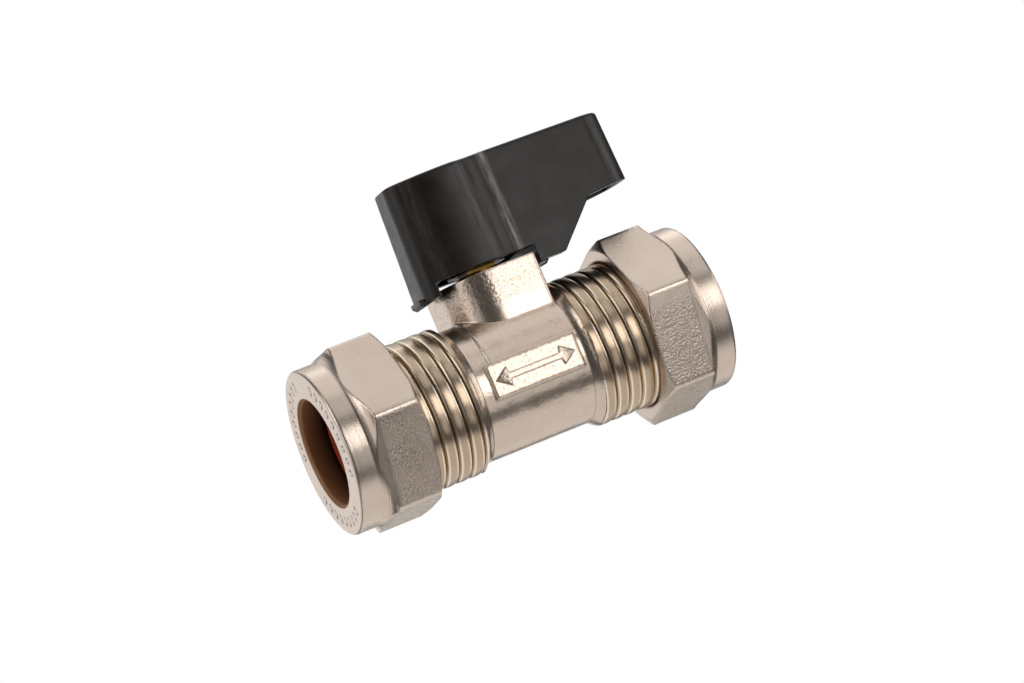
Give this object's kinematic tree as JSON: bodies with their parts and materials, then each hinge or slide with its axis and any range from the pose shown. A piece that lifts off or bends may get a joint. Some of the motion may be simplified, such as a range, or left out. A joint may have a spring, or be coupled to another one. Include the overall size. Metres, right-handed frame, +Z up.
{
  "type": "isolating ball valve",
  "caption": "Inline quarter-turn ball valve with a short moulded lever and a compression nut on each end, for shutting off a small water pipe.",
  "frame": {"origin": "centre of the left pipe stop, where the end of the left pipe sits", "axes": "+X along the pipe towards the right nut, +Z up the spindle towards the lever, -Y out of the raised flat on the body's front"},
  "size_m": [0.0588, 0.0278, 0.0444],
  "materials": {
    "nickel_plate": "satin nickel plate over forged brass",
    "nickel_plate_nut": "satin nickel plate over turned brass",
    "copper": "plain copper",
    "polished_plate": "polished plate over brass",
    "seat_plastic": "waxy white plastic",
    "bare_brass": "machined, unplated",
    "rubber": "moulded",
    "lever_plastic": "semi-gloss moulded",
    "screw_steel": "zinc plated"
  },
  "bodies": {
    "body": {"valve_body": "nickel_plate", "left_seat": "seat_plastic", "right_seat": "seat_plastic", "seat_retainer": "bare_brass", "gland_nut": "bare_brass", "spindle_washer": "seat_plastic"},
    "lever_group": {"lever": "lever_plastic", "lever_screw": "screw_steel", "spindle": "bare_brass", "lower_seal_ring": "rubber", "upper_seal_ring": "rubber", "ball": "polished_plate"},
    "left_ring": {"left_olive": "copper"},
    "left_nut_body": {"left_nut": "nickel_plate_nut"},
    "right_ring": {"right_olive": "copper"},
    "right_nut_body": {"right_nut": "nickel_plate_nut"}
  },
  "joints": [
    {"name": "lever_turn", "type": "hinge", "parent": "body", "child": "lever_group", "pos_m": [0.0094, 0, 0], "axis": [0, 0, 1], "range_deg": [0, 90]},
    {"name": "left_nut_travel", "type": "slide", "parent": "body", "child": "left_ring", "axis": [-1, 0, 0], "range_m": [0, 0.003]},
    {"name": "left_nut_turn", "type": "hinge", "parent": "left_ring", "child": "left_nut_body", "pos_m": [-0.0213, 0, 0], "axis": [-1, 0, 0], "range_deg": [0, 540]},
    {"name": "right_nut_travel", "type": "slide", "parent": "body", "child": "right_ring", "axis": [1, 0, 0], "range_m": [0, 0.003]},
    {"name": "right_nut_turn", "type": "hinge", "parent": "right_ring", "child": "right_nut_body", "pos_m": [0.0375, 0, 0], "axis": [1, 0, 0], "range_deg": [0, 540]}
  ],
  "couplings": [
    {"joint": "left_nut_travel", "follows": "left_nut_turn", "m_per_rad": 0.00031831},
    {"joint": "right_nut_travel", "follows": "right_nut_turn", "m_per_rad": 0.00031831}
  ]
}
